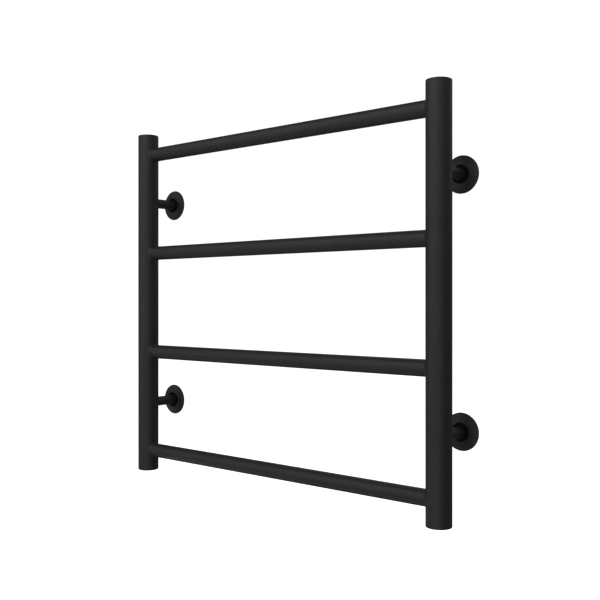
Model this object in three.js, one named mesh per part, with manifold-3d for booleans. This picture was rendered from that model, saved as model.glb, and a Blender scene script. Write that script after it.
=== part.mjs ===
// A wall-hung heated towel rack: two round posts joined by four round rails, held off the wall by
// four hollow legs. Each leg slips over a spigot on a small wall base, is locked there by a grub screw,
// and is dressed with a conical cover that slides along the leg. A flexible heating cable is threaded
// through the rails and posts, and its connections sit inside the right post by the lower leg.
//
// Millimetres, +Z up, +X to the right of someone facing the rack, +Y towards the wall.
// The origin is on the wall, midway between the four legs.

import * as THREE from "three";
import { mergeVertices } from "three/addons/utils/BufferGeometryUtils.js";
import Module from "manifold-3d";

const wasm = await Module();
wasm.setup();

// ---- Driving dimensions ----

const rackHeight = 500; // length of a post
const postSpacing = 500; // from post axis to post axis
const wallDistance = 52; // from the wall to the post axes
const railCount = 4;
const railInset = 30; // from a post's end to the axis of the nearest rail
const legInset = 100; // from a post's end to the axis of the nearest leg

const postDiameter = 30;
const postWall = 1.5;
const railDiameter = 20;
const railWall = 1.2;

const capThickness = 2;
const capSkirtDepth = 8;
const capSkirtWall = 1.2;

const legDiameter = 14;
const legWall = 2;
const baseThickness = 1.2;
const spigotLength = 16; // from the wall
const spigotWall = 1.7;
const baseScrewRadius = 11; // from the leg's axis to a wall screw hole
const baseScrewHole = 3.8;
const baseScrewHead = 7;
const baseEdge = 0.5; // metal left outside the screws' heads

const grubDiameter = 4;
const grubLength = 2.8;
const grubKey = 2; // across the flats of the hexagon socket
const grubKeyDepth = 1.6;
const grubFromWall = 10;
const grubRecess = 0.4; // how far the screw's face sits inside the leg's surface

const coverDiameter = 45;
const coverHoleGap = 4; // between the leg and the edge of the cover's hole
const coverHeight = 4;
const coverRim = 0.4; // height of the cover's upright edge at the wall
const coverWall = 0.85;
const sealLap = 1; // how far the seal reaches under the edge of the cover's hole

const cableDiameter = 5;
const cableBend = 18;
const cableTail = 60; // cable that hangs in the post beyond the last rail
const endSealLength = 22;

const blockSize = { x: 10, y: 6, z: 16 };
const cutoutSize = { x: 8, y: 4, z: 15 };
const sleeveWall = 1; // of the shrunk sleeves at both ends of the cable
const sleeveLength = 18;
const wireDiameter = 1.8;
const grommetLength = 6;
const cordHole = 6.6; // the way through the wired leg that a supply cord takes

const studDiameter = 4;
const studLength = 8;
const nutWidth = 7; // across the flats
const nutHeight = 3.2;
const lugDiameter = 8;
const lugThickness = 0.8;
const lugBarrel = { width: 3.4, height: 2.6, length: 3 };

const fitGap = 0.3; // left between two pieces that touch on the real rack
const looseGap = 1.5; // left around a piece that lies free inside a tube
const pieceGap = 1; // left between the pieces that are packed into the right post

const postSegments = 48;
const railSegments = 32;
const legSegments = 24;
const smallSegments = 16;
const cableSides = 8;
const bendSteps = 6;

// ---- Worked-out sizes and places ----

const postRadius = postDiameter / 2;
const postBore = postRadius - postWall;
const railRadius = railDiameter / 2;
const railBore = railRadius - railWall;
const legRadius = legDiameter / 2;
const legBore = legRadius - legWall;
const spigotRadius = legBore - fitGap;
const spigotBore = spigotRadius - spigotWall;
const cableRadius = cableDiameter / 2;
const sleeveRadius = cableRadius + sleeveWall;
const coverRadius = coverDiameter / 2;
const coverHole = legRadius + coverHoleGap;
const coverRise = (coverHeight - coverRim) / (coverRadius - coverHole);
const coverInside = coverHeight - coverWall; // height of the cone's underside at the hole
const baseRadius = baseScrewRadius + baseScrewHead / 2 + baseEdge;

const postX = postSpacing / 2;
const postEnd = rackHeight / 2;
const railPitch = (rackHeight - 2 * railInset) / (railCount - 1);
const legZ = postEnd - legInset;
const railZ = Array.from({ length: railCount }, (_, i) => postEnd - railInset - i * railPitch);

// Inside a post the cable runs up the side away from the rails.
const cableRunX = postBore - cableRadius - looseGap;
const cableDrop = railBore - cableRadius - fitGap; // the cable lies on the floor of each rail
// The connections share the right post with the cable, on the rails' side of it.
const blockRight = cableRunX - sleeveRadius - pieceGap;

// ---- Materials ----

function material(color, roughness, metalness) {
  return new THREE.MeshStandardMaterial({ color, roughness, metalness });
}

const blackCoat = material(0x1c1c1e, 0.55, 0.1);
const steel = material(0x8d8f92, 0.35, 1);
const rubber = material(0x0b0b0b, 0.9, 0);
const silicone = material(0x8a2f22, 0.7, 0);
const whitePlastic = material(0xd9d8d2, 0.5, 0);
const brass = material(0xc9a45a, 0.35, 1);
const brownWire = material(0x5a3420, 0.6, 0);
const blueWire = material(0x1f4f9a, 0.6, 0);
const greenWire = material(0x7f9a2b, 0.6, 0);

// ---- Solids: three.js geometry in, three.js geometry out, joined and cut in between ----

function solidOf(geometry) {
  const bare = geometry.clone();
  bare.deleteAttribute("normal");
  bare.deleteAttribute("uv");
  const merged = mergeVertices(bare, 1e-4);
  const vertProperties = merged.attributes.position.array;
  const triVerts = new Uint32Array(merged.index.array);
  return new wasm.Manifold(new wasm.Mesh({ numProp: 3, vertProperties, triVerts }));
}

function geometryOf(solid) {
  const { vertProperties, triVerts } = solid.getMesh();
  return new THREE.BufferGeometry()
    .setAttribute("position", new THREE.BufferAttribute(vertProperties, 3))
    .setIndex(new THREE.BufferAttribute(triVerts, 1));
}

// A bar with its axis along x, y or z, from one coordinate on that axis to another.
function bar(axis, radius, from, to, segments) {
  const geometry = new THREE.CylinderGeometry(radius, radius, to - from, segments);
  geometry.translate(0, (from + to) / 2, 0);
  if (axis === "x") geometry.rotateZ(-Math.PI / 2);
  if (axis === "z") geometry.rotateX(Math.PI / 2);
  return solidOf(geometry);
}

// A solid of revolution about y. The outline is a list of [radius, height], counter-clockwise.
function turned(outline, segments) {
  const points = [...outline, outline[0]].map(([r, h]) => new THREE.Vector2(r, h));
  return solidOf(new THREE.LatheGeometry(points, segments));
}

function box(size, centre) {
  return solidOf(new THREE.BoxGeometry(...size).translate(...centre));
}

// A bar of circular section swept along a curve.
function swept(route, radius, sides, steps) {
  const section = new THREE.Shape(
    Array.from({ length: sides }, (_, i) => {
      const angle = (2 * Math.PI * i) / sides;
      return new THREE.Vector2(radius * Math.cos(angle), radius * Math.sin(angle));
    }),
  );
  return new THREE.ExtrudeGeometry(section, { steps, extrudePath: route, curveSegments: 1 });
}

function add(parent, name, shape, finish) {
  const geometry = shape.isBufferGeometry ? shape : geometryOf(shape);
  const mesh = new THREE.Mesh(geometry, finish);
  mesh.name = name;
  parent.add(mesh);
  return mesh;
}

function place(parent, x, y, z) {
  const group = new THREE.Group();
  group.position.set(x, y, z);
  parent.add(group);
  return group;
}

// ---- The welded frame ----

// A post is a tube along z. towardsRails is +1 or -1, the side its rails meet it on.
function post(towardsRails, hasCordHole) {
  let solid = bar("z", postRadius, -postEnd, postEnd, postSegments);
  solid = solid.subtract(bar("z", postBore, -postEnd - 1, postEnd + 1, postSegments));
  for (const z of railZ) {
    const hole = bar("x", railBore, 0, postDiameter, railSegments);
    solid = solid.subtract(hole.scale([towardsRails, 1, 1]).translate([0, 0, z]));
  }
  if (hasCordHole) {
    const hole = bar("y", cordHole / 2, 0, postDiameter, smallSegments);
    solid = solid.subtract(hole.translate([0, 0, -legZ]));
  }
  return solid;
}

// A rail is a tube along x, its ends hollowed to sit on the posts.
function rail() {
  let solid = bar("x", railRadius, -postX, postX, railSegments);
  solid = solid.subtract(bar("x", railBore, -postX - 1, postX + 1, railSegments));
  for (const x of [-postX, postX]) {
    const seat = bar("z", postRadius + fitGap, -railDiameter, railDiameter, postSegments);
    solid = solid.subtract(seat.translate([x, 0, 0]));
  }
  return solid;
}

// A cup that closes the end of a post, its face flush with the post's end. It opens downwards.
function cap() {
  const outer = postBore - fitGap;
  const inner = outer - capSkirtWall;
  const cup = turned(
    [
      [0, -capThickness],
      [inner, -capThickness],
      [inner, -capSkirtDepth],
      [outer, -capSkirtDepth],
      [outer, 0],
      [0, 0],
    ],
    postSegments,
  );
  return cup.rotate([90, 0, 0]);
}

// ---- A bracket: modelled from the wall out, with y as the distance from the wall ----

function leg() {
  const foot = baseThickness + fitGap;
  let solid = bar("y", legRadius, foot, wallDistance, legSegments);
  solid = solid.subtract(bar("y", legBore, foot - 1, wallDistance + 1, legSegments));
  const seat = bar("z", postRadius + fitGap, -legDiameter, legDiameter, postSegments);
  solid = solid.subtract(seat.translate([0, wallDistance, 0]));
  const thread = bar("z", grubDiameter / 2 + fitGap, 0, legDiameter, smallSegments);
  return solid.subtract(thread.translate([0, grubFromWall, 0]));
}

function wallBase() {
  const grubReach = legRadius - grubRecess - grubLength; // where the grub screw's tip ends
  const neck = grubReach - fitGap;
  const neckHalf = grubDiameter / 2 + looseGap;
  const slope = spigotRadius - neck; // the groove's sides slope at 45 degrees
  let solid = turned(
    [
      [spigotBore, 0],
      [baseRadius, 0],
      [baseRadius, baseThickness],
      [spigotRadius, baseThickness],
      [spigotRadius, grubFromWall - neckHalf - slope],
      [neck, grubFromWall - neckHalf],
      [neck, grubFromWall + neckHalf],
      [spigotRadius, grubFromWall + neckHalf + slope],
      [spigotRadius, spigotLength],
      [spigotBore, spigotLength],
    ],
    legSegments,
  );
  const head = baseScrewHead / 2;
  const shank = baseScrewHole / 2;
  for (const z of [-baseScrewRadius, baseScrewRadius]) {
    const countersink = turned(
      [
        [0, -1],
        [shank, -1],
        [shank, baseThickness - (head - shank) / 2],
        [head, baseThickness],
        [head, baseThickness + 1],
        [0, baseThickness + 1],
      ],
      smallSegments,
    );
    solid = solid.subtract(countersink.translate([0, 0, z]));
  }
  return solid;
}

// A set screw along z with a hexagon socket in its outer end.
function grubScrew() {
  const face = legRadius - grubRecess;
  const thread = bar("z", grubDiameter / 2, face - grubLength, face, smallSegments);
  const key = bar("z", grubKey / Math.sqrt(3), face - grubKeyDepth, face + 1, 6);
  return thread.subtract(key);
}

// A cone of sheet metal with a hole at its top for the leg.
function cover() {
  return turned(
    [
      [coverHole + coverInside / coverRise, 0],
      [coverRadius, 0],
      [coverRadius, coverRim],
      [coverHole, coverHeight],
      [coverHole, coverInside],
    ],
    postSegments,
  );
}

// A rubber ring that fills the room between the cover and the wall base. It grips the leg, and holds
// the cover where it is pushed.
function coverSeal() {
  const inner = legRadius + fitGap;
  const outer = coverHole + sealLap;
  const low = baseThickness + fitGap;
  const high = coverInside - sealLap * coverRise - fitGap;
  return turned(
    [
      [inner, low],
      [outer, low],
      [outer, high],
      [inner, high],
    ],
    legSegments,
  );
}

// ---- The heating cable ----

// A line in an upright plane, made of straight runs and bends, read as a curve in space that is
// stepped once along each straight run and several times round each bend.
class PlaneRoute extends THREE.Curve {
  constructor(line) {
    super();
    this.spans = line.curves.flatMap((curve) => {
      const steps = curve instanceof THREE.LineCurve ? 1 : bendSteps;
      return Array.from({ length: steps }, (_, i) => ({ curve, from: i / steps, size: 1 / steps }));
    });
  }

  getPoint(t, target = new THREE.Vector3()) {
    const place = t * this.spans.length;
    const index = Math.min(Math.floor(place), this.spans.length - 1);
    const { curve, from, size } = this.spans[index];
    const { x, y } = curve.getPoint(from + (place - index) * size);
    return target.set(x, 0, y);
  }

  getUtoTmapping(u) {
    return u;
  }
}

// The cable starts at the splice above the wired leg, goes down to the bottom rail, and climbs from
// rail to rail, crossing at each. It ends in the right post, hanging from the top rail.
function cableRoute(startZ) {
  const runX = postX + cableRunX;
  const bendX = runX - cableBend;
  const line = new THREE.Path();
  line.moveTo(runX, startZ);
  const levels = railZ.map((z) => z - cableDrop).reverse();
  levels.forEach((z, i) => {
    const side = i % 2 === 0 ? 1 : -1; // the post that the cable comes from: right, then left
    const arrivesFromAbove = i === 0;
    const last = i === levels.length - 1;
    turn(line, side * bendX, z, arrivesFromAbove ? [side, 1, "in"] : [side, -1, "in"]);
    turn(line, -side * bendX, z, last ? [-side, -1, "out"] : [-side, 1, "out"]);
  });
  const endX = levels.length % 2 === 0 ? runX : -runX;
  const endZ = levels.at(-1) - cableBend - cableTail;
  line.lineTo(endX, endZ);
  return { route: new PlaneRoute(line), endX, endZ };
}

// A quarter bend between a run along z in a post and a run along x in a rail. It lies to the
// given side (+1 right, -1 left) of x, and above (+1) or below (-1) z. "in" goes from post to rail.
function turn(line, x, z, [side, above, way]) {
  const atRail = (-above * Math.PI) / 2;
  const atPost = side > 0 ? 0 : Math.PI;
  const start = way === "in" ? atPost : atRail;
  const stop = way === "in" ? atRail : atPost;
  let sweep = stop - start;
  if (sweep > Math.PI) sweep -= 2 * Math.PI;
  if (sweep < -Math.PI) sweep += 2 * Math.PI;
  line.absarc(x, z + above * cableBend, cableBend, start, start + sweep, sweep < 0);
}

// ---- The connections in the right post, with z counted from the wired leg's axis ----

const stackLow = 8; // the pieces stand just above the leg, clear of the supply cord's way in
const blockTop = stackLow + blockSize.z;
const sleeveTop = stackLow + sleeveLength;
const cutoutTop = stackLow + cutoutSize.z;
const blockBack = -pieceGap / 2; // the block lies in front of the post's axis, the cut-out behind it
const poleShares = [-0.3, 0, 0.3]; // live, neutral and earth, as shares of the block's width
const poleX = poleShares.map((share) => blockRight + (share - 0.5) * blockSize.x);
const poleY = blockBack - blockSize.y / 2;
const cutoutY = blockBack + 2 * pieceGap + cutoutSize.y / 2;
const loopRise = 7; // how high a wire loops above the piece that it leaves

function wire(points) {
  const route = new THREE.CatmullRomCurve3(points.map((p) => new THREE.Vector3(...p)));
  const steps = Math.round(route.getLength() / (2 * wireDiameter));
  return swept(route, wireDiameter / 2, cableSides, steps);
}

// A wire that leaves one upright face, loops over, and comes down on another.
function loopWire(from, to) {
  const lift = Math.max(from[2], to[2]) + loopRise;
  const middle = [(from[0] + to[0]) / 2, (from[1] + to[1]) / 2, lift];
  const start = [from[0], from[1], from[2] + fitGap];
  const end = [to[0], to[1], to[2] + fitGap];
  const above = ([x, y, z]) => [x, y, z + loopRise / 2];
  return wire([start, above(start), middle, above(end), end]);
}

function connections(parent) {
  const blockX = blockRight - blockSize.x / 2;
  const blockCentre = [blockX, poleY, stackLow + blockSize.z / 2];
  add(parent, "terminal_block", box(Object.values(blockSize), blockCentre), whitePlastic);

  const cutoutX = blockRight - pieceGap - cutoutSize.x / 2;
  const cutoutCentre = [cutoutX, cutoutY, stackLow + cutoutSize.z / 2];
  add(parent, "thermal_cutout", box(Object.values(cutoutSize), cutoutCentre), whitePlastic);

  const sleeve = bar("z", sleeveRadius, stackLow, sleeveTop, smallSegments);
  add(parent, "splice_sleeve", sleeve.translate([cableRunX, 0, 0]), rubber);

  const [liveX, neutralX, earthX] = poleX;
  const cutoutLegs = [-1, 1].map((way) => cutoutX + (way * cutoutSize.x) / 4);
  const spliceLegs = [-1, 1].map((way) => (way * sleeveRadius) / 2);
  const live = [liveX, poleY, blockTop];
  const neutral = [neutralX, poleY, blockTop];
  const liveLink = loopWire(live, [cutoutLegs[0], cutoutY, cutoutTop]);
  const liveTail = loopWire([cutoutLegs[1], cutoutY, cutoutTop], [cableRunX, spliceLegs[1], sleeveTop]);
  const neutralTail = loopWire(neutral, [cableRunX, spliceLegs[0], sleeveTop]);
  add(parent, "live_link", liveLink, brownWire);
  add(parent, "live_tail", liveTail, brownWire);
  add(parent, "neutral_tail", neutralTail, blueWire);

  // The earth wire goes over the front of the block and down the post to the lug on the bottom cap.
  const downY = 1.5 * wireDiameter - postBore; // close to the post's front
  const barrelZ = capInside + fitGap + lugBarrel.height / 2;
  const above = blockTop + loopRise / 2;
  const wireEnd = barrelEnd - 2 * fitGap;
  const bend = (wireEnd - downY) * 0.7; // the rest is straight
  const route = [
    [earthX, poleY, blockTop + fitGap],
    [earthX, poleY, above],
    [earthX / 2, (poleY + downY) / 2, blockTop + loopRise],
    [0, downY, above],
    [0, downY, 0],
    [0, downY, barrelZ / 2],
    [0, downY, barrelZ + 2 * bend],
    [0, downY, barrelZ + bend],
    [0, downY + bend, barrelZ],
    [0, wireEnd, barrelZ],
  ];
  add(parent, "earth_wire", wire(route), greenWire);
}

const capInside = -postEnd + legZ + capThickness; // the bottom cap's inner face
const nutCorner = nutWidth / Math.sqrt(3);
const barrelStart = -Math.max(lugDiameter / 2, nutCorner) - fitGap;
const barrelEnd = barrelStart - lugBarrel.length; // the end that takes the wire

function earthPoint(parent) {
  const stud = bar("z", studDiameter / 2, capInside + fitGap, capInside + studLength, smallSegments);
  add(parent, "earth_stud", stud, brass);

  const lugLow = capInside + fitGap;
  const lugTop = lugLow + lugThickness;
  const bore = studDiameter / 2 + fitGap;
  const flat = bar("z", lugDiameter / 2, lugLow, lugTop, smallSegments);
  const neck = box([lugBarrel.width, -barrelEnd, lugThickness], [0, barrelEnd / 2, (lugLow + lugTop) / 2]);
  const barrelSize = [lugBarrel.width, lugBarrel.length, lugBarrel.height];
  const barrelY = (barrelStart + barrelEnd) / 2;
  const barrel = box(barrelSize, [0, barrelY, lugLow + lugBarrel.height / 2]);
  const hole = bar("z", bore, lugLow - 1, lugTop + 1, smallSegments);
  add(parent, "earth_lug", flat.add(neck).add(barrel).subtract(hole), brass);

  const nutLow = lugTop + fitGap;
  const hexagon = bar("z", nutCorner, nutLow, nutLow + nutHeight, 6);
  const nutHole = bar("z", bore, nutLow - 1, nutLow + nutHeight + 1, smallSegments);
  add(parent, "earth_nut", hexagon.subtract(nutHole), steel);
}

// ---- Putting it together ----

const rack = new THREE.Group();
rack.name = "towel_rack";

const frame = place(rack, 0, -wallDistance, 0);
const sides = { left: -1, right: 1 };
for (const [side, sign] of Object.entries(sides)) {
  const upright = place(frame, sign * postX, 0, 0);
  add(upright, `${side}_post`, post(-sign, side === "right"), blackCoat);
  const topCap = place(upright, 0, 0, postEnd);
  add(topCap, `${side}_top_cap`, cap(), blackCoat);
  const bottomCap = place(upright, 0, 0, -postEnd);
  bottomCap.rotation.x = Math.PI;
  add(bottomCap, `${side}_bottom_cap`, cap(), blackCoat);
}

const railNames = ["top_rail", "upper_rail", "lower_rail", "bottom_rail"];
railZ.forEach((z, i) => {
  add(place(frame, 0, 0, z), railNames[i] ?? `extra_rail_${i + 1}`, rail(), blackCoat);
});

for (const [side, sign] of Object.entries(sides)) {
  for (const [level, up] of [["upper", 1], ["lower", -1]]) {
    const where = `${level}_${side}`;
    const bracket = place(rack, sign * postX, 0, up * legZ);
    bracket.rotation.x = Math.PI; // its y now points away from the wall, and its z down
    add(bracket, `${where}_leg`, leg(), blackCoat);
    add(bracket, `${where}_wall_base`, wallBase(), steel);
    const grub = place(bracket, 0, grubFromWall, 0);
    add(grub, `${where}_grub_screw`, grubScrew(), steel);
    add(bracket, `${where}_cover`, cover(), blackCoat);
    add(bracket, `${where}_cover_seal`, coverSeal(), rubber);
  }
}

const wiring = place(frame, postX, 0, -legZ);
connections(wiring);
earthPoint(wiring);

const { route, endX, endZ } = cableRoute(-legZ + stackLow - fitGap);
add(frame, "heating_cable", swept(route, cableRadius, cableSides, route.spans.length), silicone);
const endSeal = bar("z", sleeveRadius, -endSealLength, -fitGap, smallSegments);
add(place(frame, endX, 0, endZ), "cable_end_seal", endSeal, rubber);

// A bush in the wired leg, next to the post, that keeps the supply cord off the edge of its hole.
const bush = bar("y", legBore - fitGap, -grommetLength, 0, legSegments);
const bushHole = bar("y", cordHole / 2 - fitGap, -grommetLength - 1, 1, legSegments);
const bushPlace = place(rack, postX, -(wallDistance - postRadius - looseGap - grommetLength), -legZ);
add(bushPlace, "cord_grommet", bush.subtract(bushHole), rubber);

export default rack;
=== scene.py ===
# A heated towel rack, seen from its right-hand side: a welded tube frame with a matt black coat,
# held off the wall by four legs with sliding conical covers. X runs along the rails to the right,
# Y into the wall and Z up; the wall is at y = 0. Everything is in metres.

import math

import bmesh
import bpy
from mathutils import Matrix, Vector


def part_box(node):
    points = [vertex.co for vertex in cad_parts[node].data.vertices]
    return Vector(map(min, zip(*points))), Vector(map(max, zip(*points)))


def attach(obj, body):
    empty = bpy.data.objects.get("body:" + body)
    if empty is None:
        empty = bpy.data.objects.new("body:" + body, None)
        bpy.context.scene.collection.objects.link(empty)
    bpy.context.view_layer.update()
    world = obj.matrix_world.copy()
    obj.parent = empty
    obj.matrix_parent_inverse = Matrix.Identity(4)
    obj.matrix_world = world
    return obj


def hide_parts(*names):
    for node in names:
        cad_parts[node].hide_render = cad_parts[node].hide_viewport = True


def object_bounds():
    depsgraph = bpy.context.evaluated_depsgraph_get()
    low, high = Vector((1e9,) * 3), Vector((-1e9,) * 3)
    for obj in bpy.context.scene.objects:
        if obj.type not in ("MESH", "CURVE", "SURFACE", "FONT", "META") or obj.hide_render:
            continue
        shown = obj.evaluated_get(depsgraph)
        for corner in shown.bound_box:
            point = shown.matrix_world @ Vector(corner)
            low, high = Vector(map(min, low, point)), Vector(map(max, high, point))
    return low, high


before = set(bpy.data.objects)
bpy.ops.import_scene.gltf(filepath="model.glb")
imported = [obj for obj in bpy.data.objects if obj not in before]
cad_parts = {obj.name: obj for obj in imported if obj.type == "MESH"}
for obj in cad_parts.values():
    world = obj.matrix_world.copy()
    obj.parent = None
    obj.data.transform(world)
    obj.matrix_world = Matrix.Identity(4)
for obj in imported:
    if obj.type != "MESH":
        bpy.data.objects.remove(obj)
cad_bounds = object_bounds()


# ---- Camera ----
# A 50 mm lens on a full-frame body, held level a hand's breadth off the rack's right end and a
# little above its middle, so that the uprights stay parallel.

MM = 0.001
CAMERA_SIDE = 729.5 * MM
CAMERA_DISTANCE = 814.4 * MM
CAMERA_RISE = 3.7 * MM
CAMERA_TURN = math.radians(39.95)

left_post_low, left_post_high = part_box("left_post")
right_post_low, right_post_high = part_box("right_post")
post_plane = (left_post_low.y + left_post_high.y) / 2

lens = bpy.data.cameras.new("product_camera")
lens.lens = 50
lens.sensor_width = 36
lens.clip_start = 0.01
camera = bpy.data.objects.new("product_camera", lens)
camera.location = (CAMERA_SIDE, post_plane - CAMERA_DISTANCE, CAMERA_RISE)
camera.rotation_euler = (math.radians(90), 0, CAMERA_TURN)
bpy.context.scene.collection.objects.link(camera)
bpy.context.scene.camera = camera


# ---- Studio ----
# A white paper sweep inside a dim light tent, and a bank of round soft boxes across the front: the
# strongest high up, the rest as fill from the sides and from below, with two weak ones at the back.

FLOOR_DROP = 250 * MM
FLOOR_HALF = 6.0
TENT_GLOW = 0.16
PAPER_GLOW = 1.1
SOFT_BOX_SIZE = 1.3
SOFT_BOX_DISTANCE = 2.2

scene = bpy.context.scene
scene.view_settings.view_transform = "Standard"
scene.view_settings.look = "None"

# The tent looks white to the lens, and glows faintly on the rack.
tent = bpy.data.worlds.new("light_tent")
tent.use_nodes = True
scene.world = tent
tent_nodes = tent.node_tree.nodes
tent_glow = tent_nodes["Background"]
tent_glow.inputs["Color"].default_value = (1, 1, 1, 1)
tent_glow.inputs["Strength"].default_value = TENT_GLOW
sweep_white = tent_nodes.new("ShaderNodeBackground")
sweep_white.inputs["Color"].default_value = (1, 1, 1, 1)
sweep_white.inputs["Strength"].default_value = PAPER_GLOW
seen = tent_nodes.new("ShaderNodeLightPath")
choice = tent_nodes.new("ShaderNodeMixShader")
for out, into in (
    (seen.outputs["Is Camera Ray"], choice.inputs["Fac"]),
    (tent_glow.outputs["Background"], choice.inputs[1]),
    (sweep_white.outputs["Background"], choice.inputs[2]),
    (choice.outputs["Shader"], tent_nodes["World Output"].inputs["Surface"]),
):
    tent.node_tree.links.new(out, into)

floor_z = cad_bounds[0].z - FLOOR_DROP
floor_corners = [
    (x * FLOOR_HALF, y * FLOOR_HALF, floor_z) for x, y in ((-1, -1), (1, -1), (1, 1), (-1, 1))
]
floor_mesh = bpy.data.meshes.new("studio_floor")
floor_mesh.from_pydata(floor_corners, [], [(0, 1, 2, 3)])
floor = bpy.data.objects.new("studio_floor", floor_mesh)
scene.collection.objects.link(floor)
paper = bpy.data.materials.new("white_paper_sweep")
paper.use_nodes = True
paper_shader = paper.node_tree.nodes["Principled BSDF"]
paper_shader.inputs["Base Color"].default_value = (0.9, 0.9, 0.9, 1)
paper_shader.inputs["Roughness"].default_value = 1
paper_shader.inputs["Emission Color"].default_value = (1, 1, 1, 1)
paper_shader.inputs["Emission Strength"].default_value = PAPER_GLOW
floor_mesh.materials.append(paper)
floor.visible_diffuse = False
floor.visible_glossy = False


def soft_box(name, turn, lift, watts):
    """A round soft box aimed at the rack, turned to its right and lifted by so many degrees."""
    turn, lift = math.radians(turn), math.radians(lift)
    way = Vector((math.sin(turn) * math.cos(lift), -math.cos(turn) * math.cos(lift), math.sin(lift)))
    lamp = bpy.data.lights.new(name, "AREA")
    lamp.shape = "DISK"
    lamp.size = SOFT_BOX_SIZE
    lamp.energy = watts
    holder = bpy.data.objects.new(name, lamp)
    holder.location = way * SOFT_BOX_DISTANCE
    holder.rotation_euler = (-way).to_track_quat("-Z", "Y").to_euler()
    scene.collection.objects.link(holder)


soft_box("key_above", 0, 35, 9.0)
soft_box("above_left", -40, 35, 5.2)
soft_box("above_right", 40, 35, 2.8)
soft_box("above_far_right", 80, 35, 2.0)
soft_box("level_left", -40, 0, 3.9)
soft_box("level_front", 0, 0, 2.6)
soft_box("level_right", 40, 0, 2.6)
soft_box("below_front", 0, -35, 3.6)
soft_box("below_right", 40, -35, 2.1)
soft_box("below_far_left", -80, -35, 2.4)
soft_box("underneath", 0, -75, 6.4)
soft_box("back_left", -150, 30, 2.5)
soft_box("back_right", 150, 30, 2.5)


# ---- Posts ----
# Two uprights of 30 mm steel tube with a 1.5 mm wall. Their ends are faced square and broken with a
# fine file edge, and the sides are bored where the rails, and the supply cord, come in.

UP = Vector((0, 0, 1))
RIGHT = Vector((1, 0, 0))
INTO_WALL = Vector((0, 1, 0))
FROM_WALL = Vector((0, -1, 0))
RAILS = ("top_rail", "upper_rail", "lower_rail", "bottom_rail")
LEGS = ("upper_left", "lower_left", "upper_right", "lower_right")

POST_WALL = 1.5 * MM
POST_EDGE = 0.8 * MM
POST_BORE_CHAMFER = 0.3 * MM
POST_ROUND = 128
RAIL_WALL = 1.2 * MM
WELD = 1.9 * MM
CORD_HOLE = 3.3 * MM
ROUND = 96  # points round a piece that has no count of its own
SMOOTH_BELOW = 32  # degrees between faces; a steeper edge stays crisp
SAME_POINT = 1e-7

post_radius = (left_post_high.x - left_post_low.x) / 2
post_top = left_post_high.z
post_centres = {
    "left": (left_post_low.x + left_post_high.x) / 2,
    "right": (right_post_low.x + right_post_high.x) / 2,
}
rail_low, rail_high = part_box("top_rail")
rail_radius = (rail_high.z - rail_low.z) / 2
rail_bore = rail_radius - RAIL_WALL
rail_heights = [sum(end.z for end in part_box(rail)) / 2 for rail in RAILS]
leg_boxes = {leg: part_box(f"{leg}_leg") for leg in LEGS}
leg_centres = {leg: (low + high) / 2 for leg, (low, high) in leg_boxes.items()}
leg_low, leg_high = leg_boxes["upper_left"]
leg_radius = (leg_high.z - leg_low.z) / 2


def link(name, mesh, sharp_from=SMOOTH_BELOW):
    """An object for a mesh, with its faces turned out and smooth up to an angle."""
    work = bmesh.new()
    work.from_mesh(mesh)
    bmesh.ops.remove_doubles(work, verts=work.verts, dist=SAME_POINT)
    bmesh.ops.recalc_face_normals(work, faces=work.faces)
    work.to_mesh(mesh)
    work.free()
    mesh.polygons.foreach_set("use_smooth", [True] * len(mesh.polygons))
    mesh.set_sharp_from_angle(angle=math.radians(sharp_from))
    piece = bpy.data.objects.new(name, mesh)
    scene.collection.objects.link(piece)
    return piece


def skinned(name, rings, loop, sharp_from=SMOOTH_BELOW):
    """A closed skin over rings of points. A loop joins its last ring to its first."""
    count = len(rings[0])
    points = [point for ring in rings for point in ring]
    spans = len(rings) if loop else len(rings) - 1
    faces = []
    for step in range(spans):
        here = step * count
        there = ((step + 1) % len(rings)) * count
        for i in range(count):
            j = (i + 1) % count
            faces.append((here + i, here + j, there + j, there + i))
    if not loop:
        faces.append(tuple(range(count)))
        faces.append(tuple(range(len(points) - count, len(points))))
    mesh = bpy.data.meshes.new(name)
    mesh.from_pydata(points, [], faces)
    return link(name, mesh, sharp_from)


def centred(piece, origin):
    """Puts a piece's origin where its finish needs it, and leaves its shape where it is."""
    piece.data.transform(Matrix.Translation(-origin))
    piece.location = origin
    return piece


def ring(centre, axis, radius, count=ROUND):
    """Points round an axis."""
    start = RIGHT if abs(axis.dot(UP)) > 0.9 else UP
    side = axis.cross(start).normalized()
    other = axis.cross(side)
    turns = [2 * math.pi * i / count for i in range(count)]
    return [centre + side * (radius * math.cos(a)) + other * (radius * math.sin(a)) for a in turns]


def turned(name, outline, centre, axis, count=ROUND, sharp_from=SMOOTH_BELOW, loop=True):
    """A turned piece from (radius, height) pairs. They close on themselves, or end in flat faces."""
    rings = [ring(centre + axis * height, axis, radius, count) for radius, height in outline]
    return centred(skinned(name, rings, loop, sharp_from), centre)


def corner(radius, height, size, start, stop, steps=5):
    """Outline points of a rounded corner, from one angle to another, in degrees."""
    turns = [math.radians(start + (stop - start) * i / steps) for i in range(steps + 1)]
    return [(radius + size * math.cos(a), height + size * math.sin(a)) for a in turns]


def cut(piece, *tools):
    """Takes the tools' shapes out of a piece, which is left bare, and puts the tools away."""
    for tool in tools:
        step = piece.modifiers.new("cut", "BOOLEAN")
        step.operation = "DIFFERENCE"
        step.solver = "EXACT"
        step.object = tool
    bpy.context.view_layer.update()
    machined = piece.evaluated_get(bpy.context.evaluated_depsgraph_get())
    result = bpy.data.meshes.new_from_object(machined)
    piece.modifiers.clear()
    piece.data = result
    result.name = piece.name
    result.polygons.foreach_set("use_smooth", [True] * len(result.polygons))
    result.set_sharp_from_angle(angle=math.radians(SMOOTH_BELOW))
    result.materials.clear()
    for tool in tools:
        bpy.data.objects.remove(tool)


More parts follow.
